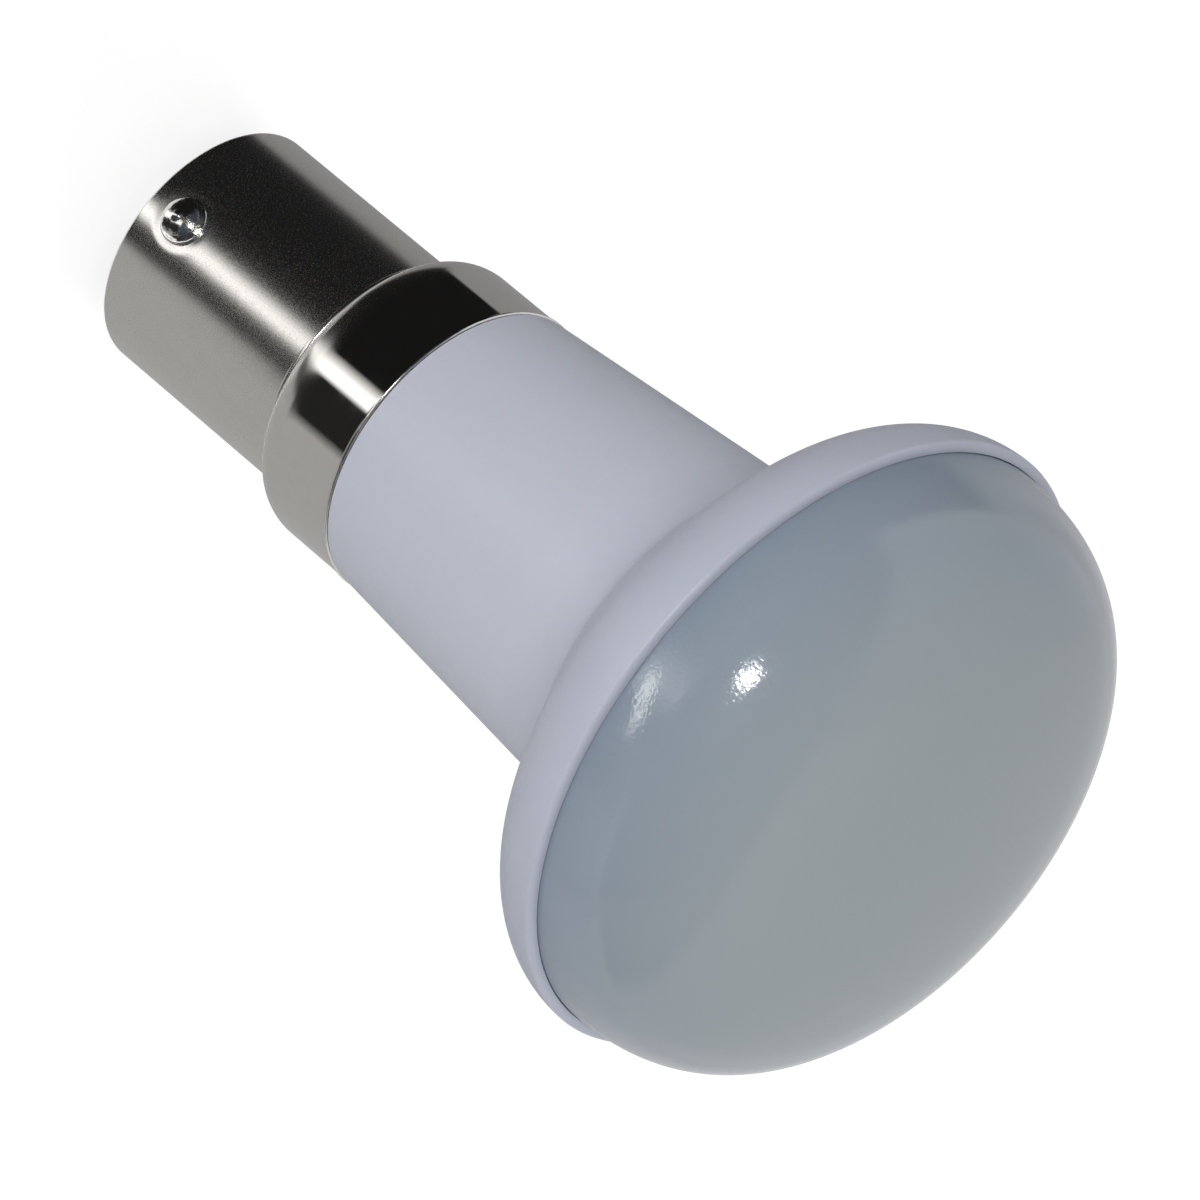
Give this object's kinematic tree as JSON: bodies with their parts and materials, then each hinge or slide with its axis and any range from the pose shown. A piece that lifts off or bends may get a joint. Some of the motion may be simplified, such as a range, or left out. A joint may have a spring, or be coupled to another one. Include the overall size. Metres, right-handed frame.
{
  "type": "led reading light bulb",
  "caption": "Reading lamp bulb with a plated bayonet cap, a white tapering neck, a flared head and a frosted dome lens over an LED board.",
  "frame": {"origin": "on the lamp's axis, level with the centres of the bayonet pins", "axes": "+Z along the axis from the cap to the lens, -Y through the front bayonet pin"},
  "size_m": [0.038, 0.038, 0.0637],
  "materials": {
    "nickel_plate": "satin barrel and polished skirt",
    "pin_metal": "polished",
    "black_glass": "gloss",
    "solder": "dull",
    "white_body": "satin moulded",
    "frosted_lens": "frosted",
    "spreader_aluminium": "turned",
    "grey_pad": "matt",
    "white_board": "white solder mask",
    "led_package": "white case with a yellow phosphor pool",
    "screw_steel": "zinc plated",
    "green_board": "green solder mask",
    "black_epoxy": "matt moulded",
    "ferrite": "matt",
    "copper_wire": "enamelled",
    "capacitor_can": "sleeved",
    "tan_ceramic": "matt",
    "red_wire": "satin",
    "black_wire": "satin"
  },
  "bodies": {
    "root": {"cap_shell": "nickel_plate", "bayonet_pin_front": "pin_metal", "bayonet_pin_rear": "pin_metal", "cap_insulator": "black_glass", "centre_contact": "solder", "housing": "white_body", "diffuser": "frosted_lens", "heat_spreader": "spreader_aluminium", "thermal_pad": "grey_pad", "led_board": "white_board", "led_01": "led_package", "led_02": "led_package", "led_03": "led_package", "led_04": "led_package", "led_05": "led_package", "led_06": "led_package", "led_07": "led_package", "led_08": "led_package", "led_09": "led_package", "led_10": "led_package", "led_11": "led_package", "led_12": "led_package", "board_screws": "screw_steel", "driver_board": "green_board", "bridge_rectifier": "black_epoxy", "driver_chip": "black_epoxy", "inductor_core": "ferrite", "inductor_winding": "copper_wire", "input_capacitor": "capacitor_can", "output_capacitor": "tan_ceramic", "freewheel_diode": "black_epoxy", "chip_resistors": "black_epoxy", "centre_lead": "red_wire", "shell_lead": "black_wire", "led_lead_plus": "red_wire", "led_lead_minus": "black_wire", "solder_joints": "solder"}
  },
  "joints": []
}
